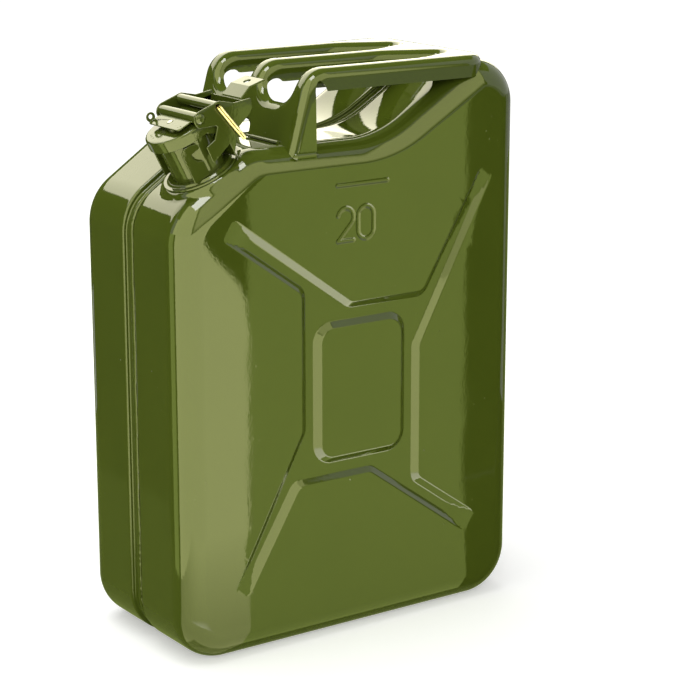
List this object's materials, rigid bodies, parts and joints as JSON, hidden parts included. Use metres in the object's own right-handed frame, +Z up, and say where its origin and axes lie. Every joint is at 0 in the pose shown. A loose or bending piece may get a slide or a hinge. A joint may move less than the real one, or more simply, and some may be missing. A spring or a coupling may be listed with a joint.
{
  "type": "fuel can",
  "caption": "Upright pressed steel fuel can with a flat barred carrying handle, a slanted filler neck and a cam lever cap held by a wire locking pin.",
  "frame": {"origin": "under the middle of the can, at the height of its flat bottom", "axes": "+Z up, +X from the filler end to the rear, +Y from the large face beside the filler neck to the other one"},
  "size_m": [0.338, 0.16, 0.48],
  "materials": {
    "body_paint": "gloss",
    "closure_paint": "gloss",
    "plain_steel": "satin",
    "gasket_rubber": "matte",
    "brass_wire": "satin"
  },
  "bodies": {
    "can": {"near_shell": "body_paint", "far_shell": "body_paint", "seam_weld": "body_paint", "front_plate": "body_paint", "handle_grip": "body_paint", "foot_weld_near": "body_paint", "foot_weld_far": "body_paint", "plate_weld_near": "body_paint", "plate_weld_far": "body_paint", "neck": "closure_paint", "neck_base_ring": "closure_paint", "neck_bracket_near": "closure_paint", "neck_bracket_far": "closure_paint", "hinge_bracket": "closure_paint", "hinge_pin": "plain_steel", "breather_tube": "plain_steel"},
    "cap": {"cap": "closure_paint", "cap_gasket": "gasket_rubber", "gasket_retainer": "plain_steel", "cap_rivet": "plain_steel", "cap_leaf": "closure_paint"},
    "lever": {"lever": "closure_paint", "lever_rivet": "closure_paint", "spacer_tube": "closure_paint"},
    "pin": {"locking_pin": "brass_wire"}
  },
  "joints": [
    {"name": "cap_hinge", "type": "hinge", "parent": "can", "child": "cap", "pos_m": [-0.10818, -0.04, 0.43943], "axis": [0, 1, 0], "range_deg": [0, 80]},
    {"name": "lever_hinge", "type": "hinge", "parent": "cap", "child": "lever", "pos_m": [-0.14126, -0.04, 0.44862], "axis": [0, -1, 0], "range_deg": [0, 120]},
    {"name": "pin_slide", "type": "slide", "parent": "lever", "child": "pin", "axis": [0, -1, 0], "range_m": [0, 0.06]}
  ],
  "couplings": [
    {"joint": "cap_hinge", "follows": "lever_hinge", "ratio": 0.666}
  ]
}
